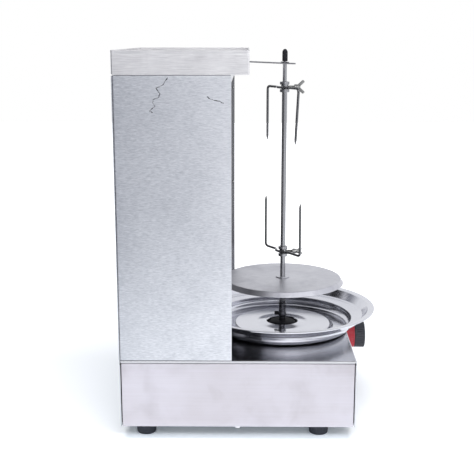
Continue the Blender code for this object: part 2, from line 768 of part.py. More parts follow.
def fork(level, collar, heading, wire_z, tip_z, prong_offset, slant):
    """A fork: a spool-shaped collar on the rod, and two bent prongs that meet in its waist."""
    low, high = collar
    bore = ROD_RADIUS + GAP
    middle = (low + high) / 2
    half = (high - low) / 2
    upper = [
        (bore, half),
        (COLLAR_RADIUS - 0.0006, half),
        (COLLAR_RADIUS, half - 0.0006),
        (COLLAR_RADIUS, WAIST_HALF),
        (WAIST_RADIUS, WAIST_HALF),
    ]
    profile = upper + [(radius, -height) for radius, height in reversed(upper)]
    origin = (SPIT_X, 0, TOP_Z + middle)
    body = turn(f"{level}_fork_collar", profile, "rod_steel", origin, steps=28, closed=True)
    bore_tool = disc_cutter(f"{level}_screw_bore", (SPIT_X + 0.006, 0, TOP_Z + middle), 0.0027, 0.009, "X")
    boolean(body, bore_tool)

    along = Vector((math.cos(heading), math.sin(heading), 0.0))
    across = Vector((math.sin(heading), -math.cos(heading), 0.0))
    bypass = WAIST_RADIUS + GAP + WIRE_RADIUS
    bridge = Vector((0, 0, wire_z - middle))
    point_up = math.copysign(1.0, tip_z - wire_z)
    for side, sign in (("left", -1), ("right", 1)):
        line = across * prong_offset + bridge
        corner = line + along * sign * (FORK_REACH - PRONG_BEND)
        points = [
            across * bypass + along * sign * WIRE_FROM + bridge,
            across * bypass + along * sign * WIRE_CLEAR + bridge,
            line + along * sign * WIRE_SPREAD,
            corner,
        ]
        for out, up in arc((0.0, PRONG_BEND), PRONG_BEND, -60, 0, 2):
            points.append(corner + along * sign * out + Vector((0, 0, point_up * up)))
        lean = slant if sign > 0 else 0.0
        end = across * prong_offset + along * sign * (FORK_REACH - lean)
        end.z = tip_z - middle
        points += [points[-1].lerp(end, POINT_STARTS), end]
        bent_wire(f"{level}_fork_{side}", points, WIRE_RADIUS, "rod_steel", origin, pointed=True)


def wing_screw(level, collar, turn_angle):
    """A wing screw in the fork's collar: a shank and two slanted wings along +X."""
    middle = (collar[0] + collar[1]) / 2
    place = (SPIT_X, 0, TOP_Z + middle)
    profile = [
        (0.0, 0.0245),
        (0.0024, 0.0240),
        (0.0038, 0.0220),
        (0.0040, 0.0160),
        (0.0036, 0.0152),
        (0.0023, 0.0150),
        (0.0023, ROD_RADIUS + GAP),
        (0.0, ROD_RADIUS + GAP),
    ]
    screw = turn(f"{level}_wing_screw", profile, "zinc_steel", place, "X", 20)
    half = [(0.0165, 0.0), (0.0170, 0.0030), (0.0255, 0.0108)]
    half += list(arc((0.0298, 0.0088), 0.0036, 130, -40, 6))
    half += [(0.0262, 0.0026), (0.0235, 0.0)]
    outline = half + [(x, -y) for x, y in reversed(half[1:-1])]
    wings = as_mesh(flat_outline(f"{level}_wings", [outline], 0.0024, None, place))
    boolean(screw, wings, "UNION")
    spin = Matrix.Rotation(turn_angle, 4, "X")
    at = Matrix.Translation(place)
    screw.matrix_world = at @ spin @ Matrix.Rotation(math.pi / 2, 4, "Y")
    wings.matrix_world = at @ spin


def drip_pan():
    """Round tray: flat rim, steep upper wall, shoulder, fat channel, floor raised to its hole."""
    profile = [
        (PAN_RADIUS - 0.0004, 0.0330),
        (PAN_RADIUS - 0.0009, 0.0348),
        (0.1415, 0.0352),
        (0.1396, 0.0340),
        (0.1316, 0.0216),
        (0.1294, 0.0198),
        (0.1162, 0.0152),
        (0.1144, 0.0136),
        (0.1141, 0.0110),
        (0.1124, 0.0068),
        (0.1085, 0.0030),
        (0.1035, 0.0011),
        (0.1000, 0.0009),
        (0.0835, 0.0009),
        (0.0800, 0.0030),
        (0.0780, 0.0060),
        (0.0420, 0.0062),
        (0.0330, 0.0070),
        (0.0280, 0.0082),
        (0.0262, 0.0082),
        (0.0252, 0.0072),
    ]
    pan = turn("drip_pan", profile, "polished_steel", (SPIT_X, 0, TOP_Z), steps=48)
    solidify(pan, THIN_SHEET, 0.0)


def build():
    base_shell()
    side_panel("side_panel_near", -1)
    side_panel("side_panel_far", 1)
    bottom_plate()
    feet()
    seal_flange()
    drive_unit()
    electrics()
    control_knob()
    rocker_switch()
    column_panel("column_panel_near", -1)
    column_panel("column_panel_far", 1)
    column_back()
    column_cap()
    reflector()
    heaters()
    top_tray()
    arm()
    drive_socket()
    spit()
    fork("upper", UPPER_COLLAR, math.radians(-62), 0.3885, 0.3020, 0.0033, 0.0080)
    wing_screw("upper", UPPER_COLLAR, math.radians(90))
    fork("lower", LOWER_COLLAR, math.radians(-57), 0.1262, 0.2110, 0.0010, 0.0010)
    wing_screw("lower", LOWER_COLLAR, math.radians(12))
    drip_pan()


build()
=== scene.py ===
"""Looks of the vertical rotisserie broiler: sheet metal with rolled edges, turned and spun steel, forks,
heaters, knob and feet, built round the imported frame, on a pale floor in soft studio light.

Everything is in metres in the frame's own axes: +X the front, -Y the side towards the camera, +Z up.
"""

import json
import math
import random

import bmesh
import bpy
from mathutils import Matrix, Vector


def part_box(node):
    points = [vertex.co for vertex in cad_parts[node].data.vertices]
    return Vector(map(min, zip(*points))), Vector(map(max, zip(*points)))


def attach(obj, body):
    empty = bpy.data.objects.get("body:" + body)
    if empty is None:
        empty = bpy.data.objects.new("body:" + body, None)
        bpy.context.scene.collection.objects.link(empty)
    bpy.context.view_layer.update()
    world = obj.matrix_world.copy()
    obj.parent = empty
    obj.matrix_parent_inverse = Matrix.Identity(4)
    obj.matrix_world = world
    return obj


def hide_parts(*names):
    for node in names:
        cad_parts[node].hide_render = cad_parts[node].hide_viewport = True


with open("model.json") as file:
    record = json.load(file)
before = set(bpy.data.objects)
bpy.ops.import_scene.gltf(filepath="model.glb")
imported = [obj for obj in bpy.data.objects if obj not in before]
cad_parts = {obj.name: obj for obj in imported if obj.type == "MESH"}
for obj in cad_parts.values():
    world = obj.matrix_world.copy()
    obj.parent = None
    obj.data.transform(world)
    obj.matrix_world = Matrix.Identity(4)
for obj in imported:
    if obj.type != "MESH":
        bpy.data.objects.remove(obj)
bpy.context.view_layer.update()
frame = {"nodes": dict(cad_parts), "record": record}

record = frame["record"]
BODY = {node: body for body, nodes in record["behaviour"]["bodies"].items() for node in nodes}
SLOT = {part["node"]: part["material_slot"] for part in record["subparts"]}

# Places taken from the frame
BASE_LOW, BASE_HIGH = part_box("base_shell")
PAN_LOW, PAN_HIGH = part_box("drip_pan")
TRAY_LOW, TRAY_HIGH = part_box("top_tray")
BACK, FRONT = BASE_LOW.x, BASE_HIGH.x
HALF = BASE_HIGH.y
TOP = BASE_HIGH.z
SPIT_X = (PAN_LOW.x + PAN_HIGH.x) / 2
SHEET = 0.0012
AXIS = Vector((SPIT_X, 0.0, TOP))
# Where the knob, the rocker switch, the cable gland and the guide arm sit
KNOB = Vector((FRONT, 0.045, TOP - 0.030))
ROCKER = Vector((FRONT, -0.075, TOP - 0.060))
GLAND = Vector((BACK, 0.0, BASE_LOW.z + 0.030))
ARM_SLOPE, ARM_HEIGHT = math.radians(2.4), 0.4255

# Two scores on the near side of the column, as (x, z)
LONG_SCRATCH = [
    (-0.1140, 0.5373), (-0.1177, 0.5305), (-0.1199, 0.5271), (-0.1303, 0.5224), (-0.1276, 0.5183),
    (-0.1249, 0.5147), (-0.1268, 0.5101), (-0.1347, 0.5060), (-0.1355, 0.5018), (-0.1321, 0.4977),
    (-0.1364, 0.4936), (-0.1396, 0.4903), (-0.1351, 0.4885),
]
SHORT_SCRATCH = [
    (-0.0600, 0.5115), (-0.0563, 0.5078), (-0.0518, 0.5063),
    (-0.0440, 0.5044), (-0.0407, 0.5036), (-0.0370, 0.5009),
]

random.seed(7)


# ---------------------------------------------------------------- outlines


def fillet(points, radius, steps=5, closed=False):
    """Rounds the corners of a flat polyline; radius is one number, or one per point."""
    points = [Vector(point) for point in points]
    radii = radius if isinstance(radius, (list, tuple)) else [radius] * len(points)
    rounded = []
    last = len(points) - 1
    for index, (corner, limit) in enumerate(zip(points, radii)):
        if limit <= 0 or (not closed and index in (0, last)):
            rounded.append(corner)
            continue
        back = points[index - 1] - corner
        ahead = points[(index + 1) % len(points)] - corner
        half = back.angle(ahead) / 2
        if half > math.radians(89.4):
            rounded.append(corner)
            continue
        reach = min(limit / math.tan(half), 0.48 * back.length, 0.48 * ahead.length)
        back, ahead = back.normalized(), ahead.normalized()
        centre = corner + (back + ahead).normalized() * (reach / math.cos(half))
        start, end = corner + back * reach - centre, corner + ahead * reach - centre
        sweep = math.atan2(start.x * end.y - start.y * end.x, start.dot(end))
        for step in range(steps + 1):
            angle = sweep * step / steps
            c, s = math.cos(angle), math.sin(angle)
            turned = Vector((start.x * c - start.y * s, start.x * s + start.y * c))
            rounded.append(centre + turned)
    return rounded


def offset_sides(path, thickness):
    """The two sides of a sheet of even thickness along a flat mid-line."""
    left, right = [], []
    for index, point in enumerate(path):
        before = path[max(index - 1, 0)]
        after = path[min(index + 1, len(path) - 1)]
        first = (point - before) if index else (after - point)
        second = (after - point) if index < len(path) - 1 else first
        first, second = first.normalized(), second.normalized()
        mean = (first + second).normalized()
        normal = Vector((-mean.y, mean.x))
        stretch = 1 / max(0.4, normal.dot(Vector((-first.y, first.x))))
        left.append(point + normal * thickness / 2 * stretch)
        right.append(point - normal * thickness / 2 * stretch)
    return left, right


def sheet_outline(path, thickness):
    """A closed (radius, height) outline of a sheet with rounded ends."""
    left, right = offset_sides(path, thickness)
    ends = []
    for side, other, inner in ((left[-1], right[-1], path[-2]), (right[0], left[0], path[1])):
        middle = (side + other) / 2
        out = (middle - inner).normalized() * thickness * 0.3
        ends.append([side.lerp(other, 0.22) + out, side.lerp(other, 0.78) + out])
    return left + ends[0] + right[::-1] + ends[1]


def rounded_rect(half_x, half_y, radius, steps=5):
    """Points round a rectangle with rounded corners, centred on zero."""
    radius = max(radius, 0.00005)
    points = []
    for quarter, (sx, sy) in enumerate(((1, 1), (-1, 1), (-1, -1), (1, -1))):
        centre = Vector((sx * (half_x - radius), sy * (half_y - radius)))
        for step in range(steps + 1):
            angle = math.radians(90 * quarter + 90 * step / steps)
            points.append(centre + radius * Vector((math.cos(angle), math.sin(angle))))
    return points


def arc(centre, radius, first, last, steps):
    """Points round a flat centre from one angle to another, in degrees."""
    angles = [math.radians(first + (last - first) * step / steps) for step in range(steps + 1)]
    return [Vector((centre[0] + radius * math.cos(a), centre[1] + radius * math.sin(a))) for a in angles]


# ---------------------------------------------------------------- meshes


def loft(rings, ends="capped"):
    """Faces between rings of points; ends are capped, or closed round. One point makes a pole."""
    working = bmesh.new()
    made = [[working.verts.new(point) for point in ring] for ring in rings]
    pairs = list(zip(made, made[1:]))
    if ends == "closed":
        pairs.append((made[-1], made[0]))
    for low, high in pairs:
        count = max(len(low), len(high))
        for index in range(count):
            after = (index + 1) % count
            corners = [low[index % len(low)], low[after % len(low)]]
            corners += [high[after % len(high)], high[index % len(high)]]
            face = list(dict.fromkeys(corners))
            if len(face) > 2:
                working.faces.new(face)
    if ends == "capped":
        for ring in (made[0], made[-1]):
            if len(ring) > 2:
                working.faces.new(ring)
    return working


AXES = {
    "Z": Matrix.Identity(4),
    "-Z": Matrix.Rotation(math.pi, 4, "X"),
    "X": Matrix.Rotation(math.pi / 2, 4, "Y"),
    "-X": Matrix.Rotation(-math.pi / 2, 4, "Y"),
    "Y": Matrix.Rotation(-math.pi / 2, 4, "X"),
    "-Y": Matrix.Rotation(math.pi / 2, 4, "X"),
}


def middle_of(node):
    """The middle of a CAD node's box."""
    low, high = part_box(node)
    return [(one + other) / 2 for one, other in zip(low, high)]


def placed(working, matrix):
    bmesh.ops.transform(working, matrix=matrix, verts=working.verts)
    return working


def moved(working, place, axis="Z", spin=0.0):
    """Turns a mesh's +Z to an axis, after a spin about it, and puts it in place."""
    return placed(working, Matrix.Translation(place) @ AXES[axis] @ Matrix.Rotation(spin, 4, "Z"))


def turned(outline, place, axis="Z", steps=96, closed=True, shape=None):
    """A turned body from a (radius, height) outline. shape(angle, radius, height) may change a radius."""
    rings = []
    for radius, height in outline:
        if radius < 0.00001:
            rings.append([Vector((0, 0, height))])
            continue
        ring = []
        for index in range(steps):
            angle = 2 * math.pi * index / steps
            reach = shape(angle, radius, height) if shape else radius
            ring.append(Vector((reach * math.cos(angle), reach * math.sin(angle), height)))
        rings.append(ring)
    return moved(loft(rings, "closed" if closed else "capped"), place, axis)


def linked(name, data):
    obj = bpy.data.objects.new(name, data)
    bpy.context.scene.collection.objects.link(obj)
    return obj


def linked_mesh(name, working):
    """An object in the scene from a mesh under construction."""
    mesh = bpy.data.meshes.new(name)
    working.to_mesh(mesh)
    working.free()
    return linked(name, mesh)


def applied(obj):
    """The mesh that a curve or an object with modifiers gives; the object goes."""
    bpy.context.view_layer.update()
    graph = bpy.context.evaluated_depsgraph_get()
    mesh = bpy.data.meshes.new_from_object(obj.evaluated_get(graph))
    working = bmesh.new()
    working.from_mesh(mesh)
    bpy.data.objects.remove(obj)
    bpy.data.meshes.remove(mesh)
    return working


def flat_plate(loops, thickness, edge, place=(0, 0, 0), axis="Z"):
    """A flat plate from closed loops, the inner ones holes, with rounded edges."""
    curve = bpy.data.curves.new("plate", "CURVE")
    curve.dimensions = "2D"
    curve.fill_mode = "BOTH"
    curve.extrude = thickness / 2 - edge
    curve.bevel_depth = edge
    curve.bevel_resolution = 2
    curve.offset = -edge
    for loop in loops:
        spline = curve.splines.new("POLY")
        spline.points.add(len(loop) - 1)
        for point, (x, y) in zip(spline.points, loop):
            point.co = (x, y, 0, 1)
        spline.use_cyclic_u = True
    working = applied(linked("plate", curve))
    bmesh.ops.remove_doubles(working, verts=working.verts, dist=0.000005)
    return moved(working, place, axis)


def wire(points, radius, radii=None, sides=20):
    """A round wire along a path, its cross-section turned smoothly along the way."""
    points = [Vector(point) for point in points]
    rings = []
    side = None
    for index, point in enumerate(points):
        along = points[min(index + 1, len(points) - 1)] - points[max(index - 1, 0)]
        along.normalize()
        if side is None:
            side = along.orthogonal().normalized()
        side = (side - along * side.dot(along)).normalized()
        up = along.cross(side)
        reach = radius * (radii[index] if radii else 1.0)
        ring = []
        for number in range(sides):
            angle = 2 * math.pi * number / sides
            ring.append(point + (side * math.cos(angle) + up * math.sin(angle)) * reach)
        rings.append(ring)
    return loft(rings)


def folded(path, thickness, width, place, across, up, edge=0.00025):
    """A sheet folded along a flat path (first axis across, second axis up) and drawn along the third."""
    left, right = offset_sides(path, thickness)
    across, up = Vector(across), Vector(up)
    drawn = across.cross(up)
    section = rounded_rect(thickness / 2, width / 2, edge, 2)
    rings = []
    for one, other in zip(left, right):
        middle, out = (one + other) / 2, (one - other) / thickness
        ring = []
        for along_out, along_width in section:
            flat = middle + out * along_out
            ring.append(place + across * flat.x + up * flat.y + drawn * (along_width + width / 2))
        rings.append(ring)
    return loft(rings)


def smooth_path(corners, radius):
    """A path in space through corners, with each bend rounded."""
    steps = 8
    corners = [Vector(corner) for corner in corners]
    path = [corners[0]]
    for before, corner, after in zip(corners, corners[1:], corners[2:]):
        back, ahead = before - corner, after - corner
        half = back.angle(ahead) / 2
        reach = min(radius / math.tan(half), 0.48 * back.length, 0.48 * ahead.length)
        start = corner + back.normalized() * reach
        end = corner + ahead.normalized() * reach
        for step in range(steps + 1):
            t = step / steps
            path.append(start.lerp(corner, t).lerp(corner.lerp(end, t), t))
    path.append(corners[-1])
    return path


def shown(name, working, node, look=None, stands=True, sharp=35):
    """Links a finished piece: it rides with a CAD node's body and takes its slot and finish."""
    bmesh.ops.recalc_face_normals(working, faces=working.faces)
    obj = linked_mesh(name, working)
    obj.data.materials.append(look or LOOKS[SLOT[node]])
    obj.data.shade_smooth()
    obj.data.set_sharp_from_angle(angle=math.radians(sharp))
    level = obj.modifiers.new("level", "WEIGHTED_NORMAL")
    level.keep_sharp = True
    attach(obj, BODY[node])
    if stands:
        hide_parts(node)


def combined(working, tools, operation="DIFFERENCE"):
    """A mesh cut by, or joined with, other meshes."""
    helpers = []
    for part in (working, *tools):
        bmesh.ops.recalc_face_normals(part, faces=part.faces)
        helpers.append(linked_mesh("step", part))
    for helper in helpers[1:]:
        step = helpers[0].modifiers.new("step", "BOOLEAN")
        step.object = helper
        step.operation = operation
        step.solver = "EXACT"
    made = applied(helpers[0])
    for helper in helpers[1:]:
        bpy.data.objects.remove(helper)
    return made


def block(low, high):
    working = bmesh.new()
    low, high = Vector(low), Vector(high)
    bmesh.ops.create_cube(working, size=1.0)
    bmesh.ops.scale(working, vec=high - low, verts=working.verts)
    bmesh.ops.translate(working, vec=(low + high) / 2, verts=working.verts)
    return working


def disc(radius, length, place, axis="Z"):
    outline = [(0, length / 2), (radius, length / 2), (radius, -length / 2), (0, -length / 2)]
    return turned(outline, place, axis, 64, closed=False)


# ---------------------------------------------------------------- materials


def feed(tree, node, inputs):
    """Sets a node's inputs; a socket given as an input is linked."""
    for key, value in inputs.items():
        if isinstance(value, bpy.types.NodeSocket):
            tree.links.new(value, node.inputs[key])
        else:
            node.inputs[key].default_value = value


def add(tree, kind, inputs=None, **settings):
    """A new shader node with its settings and inputs."""
    node = tree.nodes.new("ShaderNode" + kind)
    for key, value in settings.items():
        setattr(node, key, value)
    feed(tree, node, inputs or {})
    return node


def noise(tree, where, scale, detail=3.0, rough=0.55, distortion=0.0):
    inputs = {"Vector": where, "Scale": scale, "Detail": detail, "Roughness": rough}
    return add(tree, "TexNoise", {**inputs, "Distortion": distortion}).outputs["Fac"]


def span(tree, value, low, high, to_low, to_high):
    inputs = {"Value": value, "From Min": low, "From Max": high, "To Min": to_low, "To Max": to_high}
    return add(tree, "MapRange", inputs).outputs["Result"]


def sums(tree, first, second, operation="ADD"):
    return add(tree, "Math", {0: first, 1: second}, operation=operation).outputs[0]


def product(tree, first, second):
    return sums(tree, first, second, "MULTIPLY")


def blend_colours(tree, amount, low, high):
    """A colour between two, by an amount."""
    ramp = add(tree, "ValToRGB", {"Fac": amount})
    ramp.color_ramp.elements[0].color = (*low, 1)
    ramp.color_ramp.elements[1].color = (*high, 1)
    return ramp.outputs["Color"]


def bumps(tree, height, distance, normal=None):
    inputs = {"Height": height, "Distance": distance, "Strength": 1.0}
    if normal is not None:
        inputs["Normal"] = normal
    return add(tree, "Bump", inputs).outputs["Normal"]


def start(name, **constants):
    """A new material: its tree, its shader and its object coordinates."""
    material = bpy.data.materials.new(name)
    material.use_nodes = True
    tree = material.node_tree
    shader = tree.nodes["Principled BSDF"]
    for key, value in constants.items():
        shader.inputs[key.replace("_", " ")].default_value = value
    where = add(tree, "TexCoord").outputs["Object"]
    return material, tree, shader, where


def stretched(tree, where, scale):
    return add(tree, "Mapping", {"Vector": where, "Scale": scale}).outputs["Vector"]


def steel(
    name, dark, light, grain, rough, bite=0.00001, wave=0.0, smudge=0.1, wobble=0.6, painted_light_drift=None, cloudy=0.45
):
    """Stainless steel: a drawn grain, cloudy tone, smudges and a slow waviness.

    grain is how fast the grain changes along each axis, rough the roughness at its two extremes,
    bite the grain's depth, wobble its bending, wave the depth of the sheet's unevenness, smudge how
    dark and rough the marks are, painted_light_drift a slow change of tone along each axis that paints
    light and shade into the colour, and cloudy the share of cloud against grain in the tone.
    """
    material, tree, shader, where = start(name, Metallic=1.0)
    lines = noise(tree, stretched(tree, where, grain), 1.0, 5.0, 0.62, wobble)
    cloud = noise(tree, where, 9.0, 3.0)
    marks = span(tree, noise(tree, where, 22.0, 3.0, 0.55, 0.3), 0.50, 0.74, 0.0, smudge)
    tone = sums(tree, product(tree, lines, 1 - cloudy), product(tree, cloud, cloudy))
    tone = sums(tree, tone, marks, "SUBTRACT")
    # painted light and shade: the tone rises along the drift axes, lighter where the light is meant to fall
    if painted_light_drift:
        slow = add(tree, "VectorMath", {0: where, 1: painted_light_drift}, operation="DOT_PRODUCT")
        tone = sums(tree, tone, slow.outputs["Value"])
    shade = span(tree, tone, 0.32, 0.66, 0.0, 1.0)
    grip = sums(tree, span(tree, lines, 0.3, 0.7, *rough), marks)
    normal = bumps(tree, noise(tree, where, 7.0, 1.0), wave) if wave else None
    normal = bumps(tree, lines, bite, normal)
    colour = blend_colours(tree, shade, dark, light)
    feed(tree, shader, {"Base Color": colour, "Roughness": grip, "Normal": normal})
    return material


def moulded(name, dark, light, rough, pebble=900.0, **constants):
    """Moulded plastic, rubber or ceramic: fine pebbled skin, slight tone and wear."""
    material, tree, shader, where = start(name, **constants)
    skin = noise(tree, where, pebble, 2.0)
    patch = noise(tree, where, 60.0, 4.0)
    amount = sums(tree, product(tree, skin, 0.4), product(tree, patch, 0.6))
    colour = blend_colours(tree, span(tree, amount, 0.35, 0.65, 0.0, 1.0), dark, light)
    grip = span(tree, patch, 0.3, 0.7, *rough)
    feed(tree, shader, {"Base Color": colour, "Roughness": grip, "Normal": bumps(tree, skin, 0.00003)})
    return material


def sheath(name):
    """Heater sheath: dark oxide with straw and blue tempering."""
    material, tree, shader, where = start(name, Metallic=0.85)
    scale = noise(tree, where, 120.0, 5.0, 0.65)
    bands = noise(tree, stretched(tree, where, (20, 20, 9)), 1.0, 3.0, 0.5, 0.6)
    ramp = add(tree, "ValToRGB", {"Fac": bands})
    ramp.color_ramp.elements[0].position = 0.36
    ramp.color_ramp.elements[0].color = (0.075, 0.072, 0.078, 1)
    ramp.color_ramp.elements[1].position = 0.66
    ramp.color_ramp.elements[1].color = (0.15, 0.125, 0.10, 1)
    grip = span(tree, scale, 0.3, 0.7, 0.38, 0.62)
    looks = {"Base Color": ramp.outputs["Color"], "Roughness": grip, "Normal": bumps(tree, scale, 0.00008)}
    feed(tree, shader, looks)
    return material


ALONG_X, ALONG_Z = (16, 1500, 1500), (1500, 1500, 16)

# Darkest tone, lightest tone, grain, roughness, and what differs from a plain sheet
STEELS = {
    "base_wrap_steel": (
        (0.47, 0.47, 0.49), (0.53, 0.53, 0.55), ALONG_X, (0.17, 0.23),
        {"bite": 0.0, "smudge": 0.03},
    ),
    "side_panel_steel": (
        (0.475, 0.45, 0.475), (0.56, 0.54, 0.585), (8, 500, 500), (0.32, 0.38),
        {"bite": 2e-6, "wave": 5e-4, "smudge": 0.16, "cloudy": 0.68},
    ),
    # painted light: the column sheets are lighter towards the front and the top, a gradient of light
    # painted into their tone
    "column_panel_steel": (
        (0.48, 0.495, 0.53), (0.76, 0.77, 0.80), (150, 150, 900), (0.36, 0.44),
        {
            "bite": 2e-5, "wave": 3e-4, "smudge": 0.05,
            "wobble": 0.5, "cloudy": 0.22, "painted_light_drift": (1.0, 0.05, 0.30),
        },
    ),
    "tray_steel": ((0.59, 0.58, 0.59), (0.90, 0.89, 0.89), (40, 40, 800), (0.42, 0.52), {"bite": 2e-5}),
    "reflector_steel": ((0.24, 0.24, 0.25), (0.31, 0.31, 0.32), ALONG_Z, (0.14, 0.24), {"wave": 5e-4}),
    "pan_steel": (
        (0.61, 0.615, 0.655), (0.67, 0.675, 0.715), (90, 90, 90), (0.11, 0.16),
        {"bite": 0.0, "smudge": 0.04},
    ),
    "plate_steel": ((0.45, 0.45, 0.49), (0.64, 0.64, 0.67), (70, 70, 70), (0.34, 0.44), {}),
    "rod_steel": ((0.28, 0.28, 0.29), (0.38, 0.38, 0.39), (1500, 1500, 40), (0.14, 0.20), {"bite": 2e-6}),
    "arm_steel": ((0.16, 0.16, 0.17), (0.26, 0.26, 0.27), ALONG_X, (0.22, 0.32), {"bite": 4e-6}),
    "socket_steel": ((0.09, 0.09, 0.10), (0.19, 0.19, 0.21), (200, 200, 200), (0.20, 0.32), {}),
    "black_oxide": ((0.015, 0.015, 0.018), (0.04, 0.04, 0.045), (300, 300, 300), (0.30, 0.45), {}),
    "fork_steel": ((0.13, 0.13, 0.135), (0.22, 0.22, 0.225), (400, 400, 60), (0.18, 0.28), {"bite": 3e-6}),
    "zinc_steel": ((0.22, 0.22, 0.215), (0.38, 0.38, 0.37), (120, 120, 120), (0.18, 0.30), {"bite": 2e-5}),
    "motor_casting": (
        (0.30, 0.31, 0.32), (0.42, 0.43, 0.44), (300, 300, 300), (0.42, 0.56),
        {"bite": 8e-5},
    ),
}
# Darkest tone, lightest tone, roughness, and what differs from plain plastic
MOULDED = {
    "soft_black": ((0.005, 0.005, 0.007), (0.013, 0.013, 0.016), (0.55, 0.72), {"Specular_IOR_Level": 0.2}),
    "score": ((0.010, 0.011, 0.014), (0.05, 0.05, 0.06), (0.55, 0.75), {}),
    "black_plastic": ((0.011, 0.012, 0.018), (0.024, 0.026, 0.036), (0.34, 0.48), {}),
    "red_plastic": ((0.40, 0.020, 0.034), (0.60, 0.036, 0.054), (0.30, 0.42), {}),
    "foot_rubber": ((0.008, 0.010, 0.017), (0.022, 0.025, 0.036), (0.55, 0.75), {}),
    "ceramic": ((0.66, 0.63, 0.56), (0.80, 0.78, 0.72), (0.50, 0.70), {"pebble": 500.0}),
    "nylon": ((0.66, 0.64, 0.58), (0.80, 0.79, 0.74), (0.38, 0.50), {}),
}
LOOKS = {name: steel(name, *looks[:-1], **looks[-1]) for name, looks in STEELS.items()}
LOOKS.update({name: moulded(name, *looks[:-1], **looks[-1]) for name, looks in MOULDED.items()})
LOOKS["heater_sheath"] = sheath("heater_sheath")


# ---------------------------------------------------------------- base


def rect_rings(steps, half_x, half_y, radius, place, axis="Z"):
    """Rings for a box-like shell: each step is (inset, height)."""
    matrix = Matrix.Translation(place) @ AXES[axis]
    for inset, height in steps:
        ring = rounded_rect(half_x - inset, half_y - inset, radius - inset)
        yield [matrix @ Vector((x, y, height)) for x, y in ring]


def pressed(depth, face, bend, half_x, half_y, radius, place, axis="Z"):
    """A shallow box of sheet metal, open at its start, with a rolled edge round its face."""
    outer = fillet([(0, 0), (0, face), (0.02, face)], bend, 6)[:-1]
    steps = [(SHEET, depth - SHEET), (SHEET, 0.0), *outer]
    return loft(rect_rings(steps, half_x, half_y, radius, place, axis))


def base_wrap():
    """Top, front and back folded from one sheet, with rolled edges and relief notches at the corners."""
    height = TOP - BASE_LOW.z
    middle = ((BACK + FRONT) / 2, 0, BASE_LOW.z)
    shell = pressed(height, height, 0.0018, (FRONT - BACK) / 2, HALF, 0.0022, middle)
    border, band = 0.0016, 0.0036
    wide = HALF + 0.01
    inside = (BACK + border, -wide, BASE_LOW.z - 0.01), (FRONT - border, wide, TOP - band)
    tools = [block(*inside)]
    tools.append(disc(0.0080, 0.01, (SPIT_X, 0, TOP)))
    tools.append(disc(0.0120, 0.01, (BACK + 0.032, 0, TOP)))
    tools.append(disc(0.0050, 0.01, KNOB, "X"))
    tools.append(disc(0.0082, 0.01, GLAND, "X"))
    reach = Vector((0.01, 0.0070, 0.0102))
    tools.append(block(ROCKER - reach, ROCKER + reach))
    for x in (BACK + 0.0007, FRONT - 0.0029):
        for z in (TOP - band - 0.0030, BASE_LOW.z - 0.001):
            for y in (-wide, HALF - 0.004):
                tools.append(block((x, y, z), (x + 0.0022, y + 0.014, z + 0.0040)))
    shown("base_wrap", combined(shell, tools), "base_shell", sharp=40)


def base_side(side):
    """One pressed side panel with rolled edges and flanges inward."""
    node = f"side_panel_{side}"
    low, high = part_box(node)
    end_gap, top_gap = 0.0009, 0.0004
    sign = -1 if side == "near" else 1
    depth = high.y - low.y
    half_x, half_z = (high.x - low.x) / 2 - end_gap, (high.z - low.z) / 2 - top_gap
    x, _, z = middle_of(node)
    middle, axis = (x, sign * (HALF - depth), z), "-Y" if sign < 0 else "Y"
    panel = pressed(depth, depth - 0.0001, 0.0014, half_x, half_z, 0.0016, middle, axis)
    shown(f"base_side_{side}", panel, node)


def foot(node):
    """A turned rubber foot with a rounded shoulder and a screw well underneath."""
    low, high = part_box(node)
    radius = (high.x - low.x) / 2
    height = high.z
    outline = [
        (0.0, height), (radius - 0.0002, height), (radius - 0.0001, 0.0150), (radius - 0.0014, 0.0012),
        (radius - 0.0026, 0.0), (0.0075, 0.0), (0.0066, 0.0065), (0.0, 0.0065),
    ]
    radii = [0, 0.0010, 0.01, 0.0030, 0.0012, 0.0008, 0.0006, 0]
    place = (*middle_of(node)[:2], 0)
    shown(node.replace("foot", "rubber_foot"), turned(fillet(outline, radii), place, closed=False), node)


def tongue():
    """Small bent tongue of the bottom plate that shows under the near side's lower edge."""
    place = (-0.0176, -HALF + 0.0016, BASE_LOW.z)
    plate = flat_plate([rounded_rect(0.0034, 0.0014, 0.0012)], 0.0010, 0.0003, place, "-Y")
    shown("plate_tongue", plate, "bottom_plate", LOOKS["tray_steel"], stands=False)


base_wrap()
tongue()
for side in ("near", "far"):
    base_side(side)
    for end in ("rear", "front"):
        foot(f"foot_{end}_{side}")


# ---------------------------------------------------------------- column


def column_side(side):
    """Side sheet of the column: rolled front and top edges and a flange behind the back panel."""
    node = f"column_panel_{side}"
    low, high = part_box(node)
    sign = -1 if side == "near" else 1
    face = sign * (HALF - SHEET / 2 - 0.0001)
    inner = sign * (HALF - 0.0118)
    start_x = low.x + SHEET / 2
    path = fillet([(high.x - 0.0001, face), (start_x, face), (start_x, inner)], 0.0012, 6)
    height = high.z - low.z - 0.0002
    sheet = folded(path, SHEET, height, Vector((0, 0, low.z + 0.0001)), (1, 0, 0), (0, 1, 0), 0.0005)
    shown(f"column_side_{side}", sheet, node)


